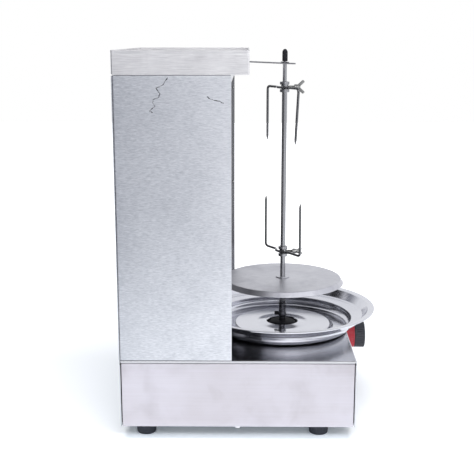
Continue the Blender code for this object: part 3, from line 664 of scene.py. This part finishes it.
def scratch(name, marks, width):
    """A dark ragged score across the near side sheet, drawn as a very thin ribbon on its skin."""
    points = []
    for (x1, z1), (x2, z2) in zip(marks, marks[1:]):
        for step in range(4):
            t = step / 4
            shift_x, shift_z = random.uniform(-0.0007, 0.0007), random.uniform(-0.0004, 0.0004)
            points.append(Vector((x1 + (x2 - x1) * t + shift_x, z1 + (z2 - z1) * t + shift_z)))
    points.append(Vector(marks[-1]))
    y = -HALF + 0.00003
    rows = []
    for index, point in enumerate(points):
        along = points[min(index + 1, len(points) - 1)] - points[max(index - 1, 0)]
        out = Vector((-along.y, along.x)).normalized()
        half = width * random.uniform(0.15, 0.75) * (0.3 if index in (0, len(points) - 1) else 1.0)
        ring = []
        for side, depth in ((1, 0.00006), (1, 0), (-1, 0), (-1, 0.00006)):
            edge = point + out * half * side
            ring.append(Vector((edge.x, y + depth, edge.y)))
        rows.append(ring)
    shown(name, loft(rows), "column_panel_near", LOOKS["score"], stands=False)


def column_rear():
    """Back sheet of the column with a block of cooling slots."""
    low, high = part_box("column_back")
    half_y, half_z = (high.y - low.y) / 2, (high.z - low.z) / 2
    x, _, middle_z = middle_of("column_back")
    loops = [rounded_rect(half_z, half_y, 0.0012, 3)]
    for row in range(6):
        z = TOP + 0.285 + 0.014 * row + 0.0025 - middle_z
        loops.append([Vector((-z, 0)) + point for point in rounded_rect(0.0025, 0.045, 0.0024, 4)])
    shown("column_rear", flat_plate(loops, SHEET, 0.0002, (x, 0, middle_z), "X"), "column_back")


def pan_head(node, name, axis, place, radius, height):
    """A domed screw head with a cross recess."""
    dome = [(0, height), (radius * 0.75, height), (radius, 0.0), (0, 0)]
    dome = fillet(dome, [0, radius, 0.0001, 0], 6)
    head = turned(dome, (0, 0, 0), steps=40, closed=False)
    arm, half = radius * 0.62, radius * 0.12
    low, high = height * 0.45, height + 0.001
    tools = [block((-arm, -half, low), (arm, half, high)), block((-half, -arm, low), (half, arm, high))]
    head = combined(head, tools)
    shown(name, moved(head, place, axis, 0.4), node)


def column_tray():
    """Open tray on the column: rolled corners, a hem folded in at the rim, and the arm's slot."""
    low, high = TRAY_LOW, TRAY_HIGH
    height = high.z - low.z
    half_x, half_y = (high.x - low.x) / 2, (high.y - low.y) / 2
    hem, sheet = 0.0062, 0.0010
    middle = ((low.x + high.x) / 2, 0, low.z)
    outer = fillet([(0.02, 0.0), (0.0, 0.0), (0.0, height - hem)], 0.0010, 6)[1:]
    crease = [(0.00022, height - hem + 0.0004), (0.0, height - hem + 0.0010)]
    rim = [(0.0, height - 0.004), (0.0, height), (0.0021, height), (0.0021, height - 0.004)]
    rim = fillet(rim, 0.0006, 5)
    inside = [
        (0.0021, height - hem),
        (sheet, height - hem - 0.0001),
        *fillet([(sheet, 0.01), (sheet, sheet), (0.02, sheet)], 0.0010, 5)[1:-1],
    ]
    rings = rect_rings([*outer, *crease, *rim, *inside], half_x, half_y, 0.0024, middle)
    arm_low, arm_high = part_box("arm_bar")
    wall_z = TOP + ARM_HEIGHT + (SPIT_X - high.x) * math.tan(ARM_SLOPE)
    slot = Vector((high.x, 0, wall_z))
    reach = Vector((0.003, (arm_high.y - arm_low.y) / 2 + 0.0005, 0.0015))
    tools = [block(slot - reach, slot + reach)]
    for x in (low.x + 0.0021, high.x - 0.0024):
        for y in (-HALF - 0.0003, HALF - 0.0003):
            seam_low, seam_high = low.z + 0.0012, high.z - hem - 0.0002
            tools.append(block((x, y, seam_low), (x + 0.0003, y + 0.0006, seam_high)))
    shown("column_tray", combined(loft(rings), tools), "top_tray", sharp=40)


def tray_weld(number, middle_x, length):
    """A low dark weld bead on the far rim of the tray, near a corner."""
    rings = []
    for step in range(1, 14):
        t = -1 + 2 * step / 14
        swell = math.sqrt(1 - t * t) * (1 + 0.15 * math.sin(9 * t + number))
        centre = Vector((middle_x + length / 2 * t, HALF - 0.00105, TRAY_HIGH.z - 0.00036))
        ring = []
        for side in range(12):
            angle = 2 * math.pi * side / 12
            out = Vector((0, 0.00085 * math.cos(angle), 0.00028 * math.sin(angle)))
            ring.append(centre + out * swell)
        rings.append(ring)
    shown(f"tray_weld_{number}", loft(rings), "top_tray", LOOKS["heater_sheath"], stands=False)


def heat_reflector():
    """Folded reflector: a back, two angled wings and two flanges on the column sides."""
    low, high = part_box("reflector")
    side = high.y - 0.0004
    back_x, wing_x = low.x + 0.0004, BACK + 0.159
    half = [(high.x, side), (wing_x, side), (back_x, 0.095)]
    outline = half + [(x, -y) for x, y in reversed(half)]
    path = fillet(outline, 0.0020, 6)
    sheet = folded(path, 0.0008, high.z - low.z, Vector((0, 0, low.z)), (1, 0, 0), (0, 1, 0))
    shown("heat_reflector", sheet, "reflector")


def shelf():
    """Bent shelf that carries the heaters, with holes for their legs."""
    low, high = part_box("heater_shelf")
    sheet = 0.0010
    outline = [
        (high.x - sheet / 2, low.z), (high.x - sheet / 2, high.z - sheet / 2),
        (low.x, high.z - sheet / 2),
    ]
    path = fillet(outline, 0.0022, 6)
    body = folded(path, sheet, high.y - low.y, Vector((0, high.y, 0)), (1, 0, 0), (0, 0, 1))
    tools = []
    for bush in ("near_1", "near_2", "far_1", "far_2"):
        x, y, _ = middle_of(f"heater_bush_{bush}")
        tools.append(disc(0.0042, 0.01, (x, y, high.z)))
    shown("heating_shelf", combined(body, tools), "heater_shelf")


def heating(side):
    """Hairpin heating element and its ceramic bushes."""
    node = f"heater_{side}"
    low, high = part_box(node)
    tube = (high.x - low.x) / 2
    x, centre, _ = middle_of(node)
    leg = (high.y - low.y) / 2 - tube
    bend_z = high.z - tube - leg
    points = [Vector((x, centre - leg, low.z)), Vector((x, centre - leg, low.z + 0.06))]
    points += [Vector((x, *point)) for point in arc((centre, bend_z), leg, 180, 0, 32)]
    points += [Vector((x, centre + leg, low.z + 0.06)), Vector((x, centre + leg, low.z))]
    shown(f"heating_rod_{side}", wire(points, tube, sides=28), node)
    for number in (1, 2):
        bush = f"heater_bush_{side}_{number}"
        bush_low, bush_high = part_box(bush)
        place = (*middle_of(bush)[:2], bush_low.z)
        tall, radius = bush_high.z - bush_low.z, (bush_high.x - bush_low.x) / 2
        outline = [
            (0.0036, tall), (0.0054, tall), (0.0056, 0.0045), (radius, 0.0035), (radius, 0.0),
            (0.0036, 0.0),
        ]
        shown(f"ceramic_{side}_{number}", turned(fillet(outline, 0.0006, 4, True), place, steps=48), bush)


for side in ("near", "far"):
    column_side(side)
    heating(side)
    place = (BACK + 0.0001, *middle_of(f"back_screw_{side}")[1:])
    pan_head(f"back_screw_{side}", f"rear_screw_{side}", "-X", place, 0.0035, 0.0011)
    for level in ("low", "high"):
        node = f"rivet_{level}_{side}"
        low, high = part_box(node)
        x, _, z = middle_of(node)
        place, axis = ((x, low.y, z), "Y") if side == "near" else ((x, high.y, z), "-Y")
        dome = fillet([(0, 0.0011), (0.0013, 0.0010), (0.0021, 0.0), (0, 0)], [0, 0.002, 0.0001, 0], 5)
        shown(f"pop_rivet_{level}_{side}", turned(dome, place, axis, 32, closed=False), node)
scratch("scratch_long", LONG_SCRATCH, 0.0010)
scratch("scratch_short", SHORT_SCRATCH, 0.0009)
column_rear()
column_tray()
tray_weld(1, -0.1767, 0.0100)
tray_weld(2, -0.0120, 0.0082)
heat_reflector()
shelf()


def guide_arm():
    """Flat arm that leans out of the tray, with the bush the spit turns in."""
    low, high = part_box("arm_bar")
    half = (high.y - low.y) / 2
    reach_back, reach_out = ((x - SPIT_X) / math.cos(ARM_SLOPE) for x in (low.x, high.x))
    tip = reach_out - half
    outline = [Vector((reach_back, -half)), Vector((reach_back + 0.00001, half))]
    outline += arc((tip, 0), half, 90, -90, 24)
    hole = arc((0, 0), 0.0047, 0, 360, 48)[:-1]
    bar = flat_plate([outline, hole], 0.0020, 0.0003)
    lean = Matrix.Rotation(ARM_SLOPE, 4, "Y")
    bar = placed(bar, Matrix.Translation(AXIS + Vector((0, 0, ARM_HEIGHT))) @ lean)
    shown("guide_arm", bar, "arm_bar", LOOKS["arm_steel"])
    ring = [(0.0047, 0.0011), (0.0066, 0.0011), (0.0066, 0.0), (0.0047, 0.0)]
    bush = turned(fillet(ring, 0.0004, 3, True), (0, 0, 0), steps=64)
    bush = placed(bush, Matrix.Translation(AXIS + Vector((0, 0, ARM_HEIGHT + 0.0013))) @ lean)
    shown("arm_ring", bush, "arm_bush", LOOKS["arm_steel"])


guide_arm()


# ---------------------------------------------------------------- spit


def spit_parts():
    """Spit bar, rubber cap, meat plate and its hub."""
    bar = [
        (0.0, 0.4385), (0.0020, 0.4385), (0.0020, 0.4282), (0.0032, 0.4282), (0.0032, 0.3984),
        (0.0041, 0.3974), (0.0041, 0.0440), (0.0050, 0.0430), (0.0050, 0.0393), (0.0041, 0.0393),
        (0.0041, 0.0205), (0.0030, 0.0192), (0.0, 0.0192),
    ]
    radii = [0, 0.0002, 0.0001, 0.0004, 0.0008, 0.0008, 0.0004, 0.0003, 0.0003, 0.0001, 0.0008, 0.0005, 0]
    shown("spit_bar", turned(fillet(bar, radii), AXIS, closed=False), "spit_rod")
    cap = [
        (0.0, 0.4475), (0.0022, 0.4468), (0.0042, 0.4438), (0.0042, 0.4288), (0.0023, 0.4286),
        (0.0023, 0.4388), (0.0, 0.4388),
    ]
    tip = turned(fillet(cap, [0, 0.0022, 0.006, 0.0006, 0, 0, 0], 8), AXIS, closed=False)
    shown("spit_tip", tip, "spit_cap", LOOKS["soft_black"])
    radius, top = 0.0989, 0.0823
    plate = [
        (0.0088, top), (radius - 0.0050, top), (radius, top - 0.0076), (radius - 0.0012, top - 0.0081),
        (radius - 0.0058, top - 0.0015), (0.0088, top - 0.0015),
    ]
    outline = fillet(plate, [0, 0.0014, 0.0005, 0.0005, 0.0006, 0], 6, True)
    shown("carving_plate", turned(outline, AXIS, steps=192), "meat_plate")
    hub = [
        (0.0044, top + 0.0016), (0.0110, top + 0.0013), (0.0110, top + 0.0003), (0.0085, top + 0.0003),
        (0.0085, top - 0.0140), (0.0044, top - 0.0140),
    ]
    outline = fillet(hub, [0.0003, 0.0008, 0.0002, 0, 0.0008, 0.0003], 5, True)
    shown("plate_ring", turned(outline, AXIS), "plate_hub")


def knurl(teeth, depth, low, high):
    """A shape for turned(): fine teeth between two heights."""

    def shape(angle, radius, height):
        if low <= height <= high and radius > 0.002:
            return radius - depth * (0.5 - 0.5 * math.cos(teeth * angle))
        return radius

    return shape


def drive_parts():
    """Socket on the drive's output with its knurled pinch screw, and the black collar round it."""
    socket = [
        (0.0, 0.0187), (0.0044, 0.0187), (0.0044, 0.0390), (0.0067, 0.0386), (0.0067, 0.0368),
        (0.0057, 0.0362), (0.0057, 0.0250), (0.0067, 0.0235), (0.0067, 0.0180), (0.0050, 0.0160),
        (0.0050, -0.0137), (0.0, -0.0137),
    ]
    radii = [0, 0, 0.0003, 0.0008, 0.0004, 0.0006, 0.0012, 0.0008, 0.0008, 0.0010, 0.0003, 0]
    body = turned(fillet(socket, radii), AXIS, closed=False)
    shown("spit_socket", body, "drive_socket", LOOKS["socket_steel"])
    screw = [
        (0.0, 0.0128), (0.0032, 0.0128), (0.0032, 0.0064), (0.0015, 0.0062), (0.0015, 0.0044),
        (0.0, 0.0044),
    ]
    outline = fillet(screw, [0, 0.0006, 0.0005, 0.0002, 0.0002, 0], 4)
    place = AXIS + Vector((0, 0, 0.0208))
    head = turned(outline, place, "-X", 144, False, knurl(24, 0.0003, 0.0076, 0.0123))
    shown("pinch_screw_head", head, "drive_screw", LOOKS["black_oxide"])
    seal = [
        (0.0058, 0.0095), (0.0110, 0.0095), (0.0190, 0.0084), (0.0232, 0.0050), (0.0232, 0.0003),
        (0.0058, 0.0003),
    ]
    outline = fillet(seal, [0.0004, 0.001, 0.006, 0.003, 0.0003, 0.0003], 5, True)
    shown("drive_seal", turned(outline, AXIS), "seal_flange", LOOKS["soft_black"])


def drip_tray():
    """Spun steel pan: turned-down rim, steep wall, shoulder, belly, channel, floor raised to the hole."""
    rim = [(0.1494, 0.0336), (0.1494, 0.0348), (0.1402, 0.0340), (0.1306, 0.0206), (0.1125, 0.0168)]
    rim = fillet([*rim, (0.1135, 0.0149)], [0, 0.0012, 0.003, 0.006, 0.0014, 0], 8)[:-1]
    belly = arc((0.1041, 0.0110), 0.0101, 28, -90, 14)
    floor_line = [
        (0.1000, 0.0009), (0.0835, 0.0009), (0.0805, 0.0026), (0.0780, 0.0060), (0.0420, 0.0061),
        (0.0300, 0.0077), (0.0262, 0.0082), (0.0252, 0.0070),
    ]
    floor_line = fillet(floor_line, [0, 0.004, 0.006, 0.003, 0.06, 0.02, 0.0010, 0], 8)
    outline = sheet_outline([*rim, *belly, *floor_line], 0.0008)
    shown("drip_tray", turned(outline, AXIS, steps=240), "drip_pan")


spit_parts()
drive_parts()
drip_tray()


# ---------------------------------------------------------------- forks


def fork_parts(level, heading, wire_z, tip_z, prong_offset, slant):
    """A fork: spool-shaped collar, and two bent prongs with ground points."""
    low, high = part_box(f"{level}_fork_collar")
    middle, half = (low.z + high.z) / 2, (high.z - low.z) / 2
    centre = Vector((SPIT_X, 0, middle))
    bore, radius, waist, waist_half = 0.0044, 0.0075, 0.0056, 0.0036
    upper = [(bore, half), (radius, half), (radius, waist_half), (waist, waist_half)]
    outline = upper + [(r, -h) for r, h in reversed(upper)]
    radii = [0.0003, 0.0008, 0.0006, 0.0006, 0.0006, 0.0006, 0.0008, 0.0003]
    shown(f"{level}_collar", turned(fillet(outline, radii, 4, True), centre), f"{level}_fork_collar")

    along = Vector((math.cos(heading), math.sin(heading), 0))
    across = Vector((math.sin(heading), -math.cos(heading), 0))
    wire_radius, reach = 0.0020, 0.048
    bypass = waist + 0.0003 + wire_radius
    level_z = Vector((0, 0, TOP + wire_z - middle))
    for side, sign in (("left", -1), ("right", 1)):
        lean = slant if sign > 0 else 0.0
        end = across * prong_offset + along * sign * (reach - lean)
        end.z = TOP + tip_z - middle
        corners = [
            across * bypass + level_z,
            across * bypass + along * sign * 0.0075 + level_z,
            across * prong_offset + along * sign * 0.0190 + level_z,
            across * prong_offset + along * sign * reach + level_z,
            end,
        ]
        path = smooth_path([centre + corner for corner in corners], 0.0065)
        last, before = path[-1], path[-2]
        shoulder = before.lerp(last, 1 - 0.0075 / (last - before).length)
        path = path[:-1] + [shoulder, shoulder.lerp(last, 0.35), shoulder.lerp(last, 0.7), last]
        radii = [1.0] * (len(path) - 3) + [0.80, 0.50, 0.12]
        prong = wire(path, wire_radius, radii)
        shown(f"{level}_prong_{side}", prong, f"{level}_fork_{side}", LOOKS["fork_steel"])


def wing_bolt(level, spin):
    """Wing screw: threaded shank, hub and two cast wings."""
    centre = Vector((SPIT_X, 0, middle_of(f"{level}_fork_collar")[2]))
    pitch, core, crest = 0.0008, 0.00190, 0.00040
    thread_from, thread_to = 0.0046, 0.0156
    count = int((thread_to - thread_from) / pitch * 6)
    outline = [(0.0, thread_from)]
    outline += [(core, thread_from + (thread_to - thread_from) * i / count) for i in range(count + 1)]
    outline += [(0.0, thread_to)]

    def thread(angle, radius, height):
        phase = (height / pitch + angle / (2 * math.pi)) % 1.0
        return radius + crest * (1 - abs(2 * phase - 1))

    shank = turned(outline, (0, 0, 0), "X", 36, False, thread)
    hub = fillet(
        [(0.0, 0.0246), (0.0024, 0.0246), (0.0040, 0.0200), (0.0041, 0.0150), (0.0, 0.0150)],
        [0, 0.0012, 0.006, 0.0006, 0],
        6,
    )
    hub = turned(hub, (0, 0, 0), "X", 48, False)
    wing = [(0.0190, 0.0026), (0.0285, 0.0112), (0.0320, 0.0080), (0.0232, 0.0)]
    outline = [(0.0165, 0.0026), *wing, *((x, -y) for x, y in reversed(wing[:-1])), (0.0165, -0.0026)]
    rounding = [0.0005, 0.004, 0.0018, 0.0018, 0.0015, 0.0018, 0.0018, 0.004, 0.0005]
    wings = flat_plate([fillet(outline, rounding, 5, True)], 0.0026, 0.0008)
    screw = combined(shank, [hub, wings], "UNION")
    screw = placed(screw, Matrix.Translation(centre) @ Matrix.Rotation(spin, 4, "X"))
    shown(f"{level}_wing_bolt", screw, f"{level}_wing_screw", sharp=30)


fork_parts("upper", math.radians(-62), 0.3885, 0.3020, 0.0033, 0.0080)
wing_bolt("upper", math.radians(90))
fork_parts("lower", math.radians(-57), 0.1262, 0.2110, 0.0010, 0.0010)
wing_bolt("lower", math.radians(12))


# ---------------------------------------------------------------- controls


def knob_parts():
    """Fluted black grip on a red dial drum with engraved ticks."""
    radius = 0.022
    drum = [(0.0033, 0.0203), (radius, 0.0203), (radius, 0.0020), (0.0033, 0.0020)]

    def ticks(angle, reach, height):
        step = (angle / (2 * math.pi) * 36) % 1.0
        cut = 0.0004 if (step < 0.12 and 0.0125 < height < 0.0185 and reach > 0.02) else 0.0
        return reach - cut

    outline = [Vector(drum[0]), *fillet(drum[:3], [0, 0.0008, 0], 4)[1:-1]]
    outline += [Vector((radius, h)) for h in (0.0186, 0.0184, 0.0126, 0.0124)]
    outline += [*fillet([(radius, 0.01), drum[2], drum[3]], [0, 0.0008, 0], 4)[1:-1], Vector(drum[3])]
    shown("knob_dial", turned(outline, KNOB, "X", 288, True, ticks), "dial_drum")
    end = 0.0378
    grip = [
        (0.0, end), (radius, end), (radius, 0.0206), (0.0033, 0.0206), (0.0033, 0.0333), (0.0, 0.0333),
    ]
    outline = fillet(grip, [0, 0.0018, 0.0005, 0, 0, 0], 6)
    sides = [Vector((radius, h)) for h in (0.0355, 0.0350, 0.0230, 0.0225)]
    outline = [p for p in outline if p.y > 0.0356] + sides + [p for p in outline if p.y < 0.0224]
    outline += [Vector((0.0033, 0.0333)), Vector((0.0, 0.0333))]
    flutes = knurl(40, 0.00045, 0.0228, 0.0352)
    shown("knob_grip", turned(outline, KNOB, "X", 320, False, flutes), "control_knob")


def rocker_parts():
    """Rocker switch: moulded bezel with a well, and the curved rocker in it."""
    steps = [(0.0024, -0.0180), (0.0024, 0.0003), (0.0, 0.0003)]
    steps += fillet([(0.0, 0.0004), (0.0, 0.0020), (0.004, 0.0020)], 0.0009, 4)[1:-1]
    steps += [(0.0034, 0.0020), (0.0038, 0.0016), (0.0038, -0.0060)]
    bezel = loft(rect_rings(steps, 0.0125, 0.0090, 0.0030, ROCKER, "X"))
    shown("rocker_frame", bezel, "rocker_bezel")
    swing, corner = 0.0080, 28.0
    outline = [Vector((0.0024, 0.0))]
    for first, last in ((90 - corner, 90 + corner / 2), (270 - corner / 2, 270 + corner)):
        outline += [swing * point for point in arc((0, 0), 1.0, first, last, 6)]
    paddle = flat_plate([fillet(outline, [0.006] + [0.0006] * 14, 4, True)], 0.0100, 0.0006)
    tilt = Matrix.Rotation(math.radians(9), 4, "Y") @ Matrix.Rotation(math.pi / 2, 4, "X")
    shown("rocker_paddle", placed(paddle, Matrix.Translation(ROCKER) @ tilt), "rocker_button")


def gland():
    """Cable gland: hexagonal nut and ribbed dome on the back face."""
    outline = [
        (0.0035, 0.0120), (0.0070, 0.0120), (0.0084, 0.0100), (0.0092, 0.0056), (0.0108, 0.0050),
        (0.0108, 0.0003), (0.0078, 0.0003), (0.0078, -0.0100), (0.0035, -0.0100),
    ]
    radii = [0.0003, 0.0012, 0.0006, 0.0003, 0.0004, 0.0002, 0, 0.0004, 0.0003]

    def ribs(angle, radius, height):
        if 0.0004 < height < 0.0051 and radius > 0.0095:
            part = (angle % (math.pi / 3)) - math.pi / 6
            return min(radius, 0.0096 / math.cos(part))
        if 0.0055 < height < 0.0101 and radius > 0.008:
            return radius - 0.0003 * (0.5 - 0.5 * math.cos(18 * angle))
        return radius

    shown("gland_nut", turned(fillet(outline, radii, 4, True), GLAND, "-X", 144, True, ribs), "cable_gland")


knob_parts()
rocker_parts()
gland()

for node, obj in frame["nodes"].items():
    obj.data.materials.clear()
    obj.data.materials.append(LOOKS[SLOT[node]])


# ---------------------------------------------------------------- studio


def floor():
    """Pale table top. Its own glow makes the shadow light and blue and hides the horizon, and a painted
    pool of light just in front of the base cuts the shadow short.
    """
    working = bmesh.new()
    bmesh.ops.create_grid(working, x_segments=2, y_segments=2, size=1.0)
    place = Matrix.Translation((0, 2.1, 0)) @ Matrix.Diagonal((3.0, 3.0, 1, 1))
    obj = linked_mesh("floor", placed(working, place))
    material, tree, shader, where = start("floor_paint", Roughness=0.6)
    tone = blend_colours(tree, noise(tree, where, 3.0), (0.92, 0.93, 0.945), (0.94, 0.945, 0.955))
    depth = add(tree, "SeparateXYZ", {"Vector": where}).outputs["Y"]
    glow = blend_colours(tree, span(tree, depth, 0.1, 0.8, 0.0, 1.0), (0.74, 0.87, 1.0), (1.0, 1.0, 1.0))
    # painted light: extra glow in a strip just in front of the base, where the shadow would fall
    painted_light_in_front = product(tree, hump(tree, depth, -0.187, 0.043), 0.45)
    strength = sums(tree, span(tree, depth, 0.2, 1.6, 0.14, 1.1), painted_light_in_front)
    feed(tree, shader, {"Base Color": tone, "Emission Color": glow, "Emission Strength": strength})
    obj.data.materials.append(material)


def softbox(name, place, target, width, height, radiance):
    """A rectangular lamp that lights the floor; the steel sees the painted room instead."""
    data = bpy.data.lights.new(name, "AREA")
    data.shape = "RECTANGLE"
    data.size, data.size_y = width, height
    data.energy = radiance * math.pi * width * height
    obj = linked(name, data)
    obj.location = place
    obj.rotation_euler = (Vector(target) - Vector(place)).to_track_quat("-Z", "Y").to_euler()
    obj.visible_camera = False
    obj.visible_glossy = False


def hump(tree, value, middle, reach):
    """1 at the middle, falling smoothly to 0 at the reach on either side."""
    away = product(tree, sums(tree, value, middle, "SUBTRACT"), 1 / reach)
    return sums(tree, sums(tree, 1.0, product(tree, away, away), "SUBTRACT"), 0.0, "MAXIMUM")


def mixed(tree, amount, first, second):
    """The first colour at amount 0, the second at amount 1."""
    return add(tree, "Mix", {0: amount, 6: first, 7: (*second, 1)}, data_type="RGBA").outputs[2]


def surroundings():
    """The room that the steel reflects: white behind the machine and dim in front, brighter to the right,
    with one soft lamp high in front. Diffuse surfaces see an even grey and the camera sees white.
    """
    world = bpy.data.worlds.new("studio")
    bpy.context.scene.world = world
    world.use_nodes = True
    tree = world.node_tree
    background = tree.nodes["Background"]
    direction = add(tree, "TexCoord").outputs["Generated"]
    x, y, z = add(tree, "SeparateXYZ", {"Vector": direction}).outputs
    ahead = sums(tree, y, product(tree, product(tree, x, x), 0.9), "SUBTRACT")
    behind = span(tree, ahead, -0.10, 0.35, 0.0, 1.0)
    facing = sums(tree, sums(tree, product(tree, y, -1.0), z, "SUBTRACT"), 0.30, "SUBTRACT")
    right = span(tree, x, -0.22, 0.16, 0.0, 1.0)
    facing = product(tree, span(tree, facing, 0.0, 0.8, 0.0, 1.0), right)
    facing = sums(tree, facing, span(tree, x, 0.25, 0.85, 0.0, 0.75), "MAXIMUM")
    room = blend_colours(tree, facing, (0.20, 0.21, 0.25), (1.40, 1.42, 1.47))
    lamp = product(tree, hump(tree, x, 0.14, 0.70), hump(tree, z, 0.52, 0.26))
    lamp = product(tree, lamp, span(tree, y, 0.0, -0.3, 0.0, 3.2))
    room = add(tree, "VectorMath", {0: room, 1: lamp}, operation="ADD").outputs["Vector"]
    ray = add(tree, "LightPath").outputs
    colour = mixed(tree, behind, room, (0.98, 0.99, 1.02))
    colour = mixed(tree, ray["Is Diffuse Ray"], colour, (0.30, 0.31, 0.33))
    colour = mixed(tree, ray["Is Camera Ray"], colour, (1.0, 1.0, 1.0))
    feed(tree, background, {"Color": colour, "Strength": 1.0})


def camera():
    data = bpy.data.cameras.new("camera")
    data.lens = 69.7
    data.sensor_width = 36.0
    obj = linked("camera", data)
    obj.location = (-0.00535, -1.4537, 0.5897)
    obj.rotation_euler = (math.radians(90 - 12.23), 0, math.radians(0.59))
    bpy.context.scene.camera = obj


floor()
surroundings()
softbox("overhead", (0.0, -0.45, 1.9), (0, -0.1, 0), 1.9, 1.2, 5.5)
softbox("front_top", (0.4, -1.9, 1.55), (0, 0, 0.2), 2.8, 0.7, 3.8)
camera()
bpy.context.scene.view_settings.view_transform = "Standard"
